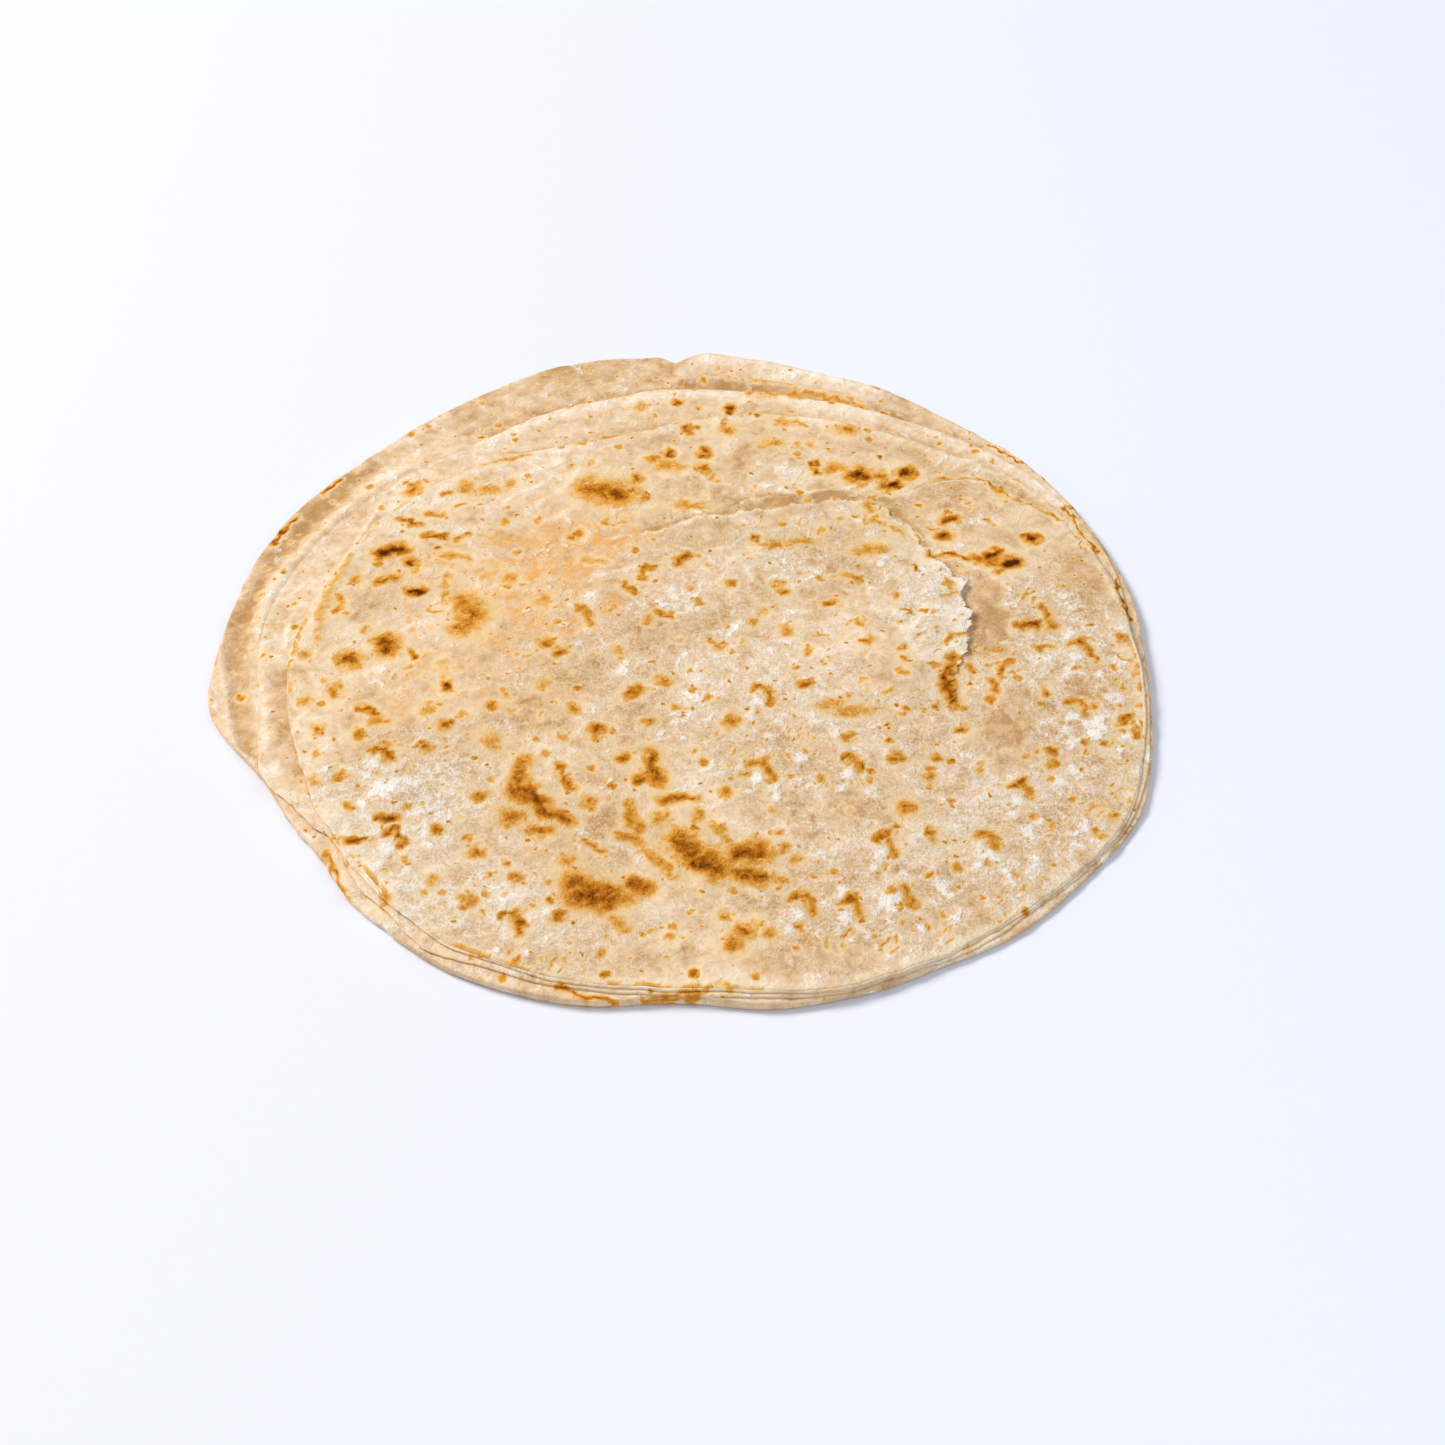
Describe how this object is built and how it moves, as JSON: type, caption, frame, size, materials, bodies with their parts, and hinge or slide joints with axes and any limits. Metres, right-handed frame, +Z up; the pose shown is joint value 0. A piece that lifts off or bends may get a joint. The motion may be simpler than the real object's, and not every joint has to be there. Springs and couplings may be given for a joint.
{
  "type": "paratha flatbread",
  "caption": "Round layered paratha flatbread: thin leaves lying a little off centre make a flaky stepped rim round a softly rolling, griddle-browned top with a torn top sheet; flat underside.",
  "frame": {"origin": "middle of the bread's box, on its flat underside", "axes": "+Z up through the thickness; +X right and -Y towards the front, where the leaves' edges come out one above the other; the two lobes of the lowest leaf are at +Y"},
  "size_m": [0.2134, 0.215, 0.0064],
  "materials": {
    "crust": "baked wheat dough, pale tan with floury patches and golden to dark brown griddle spots, dry with a faint oily sheen"
  },
  "bodies": {
    "root": {"paratha": "crust"}
  },
  "joints": []
}
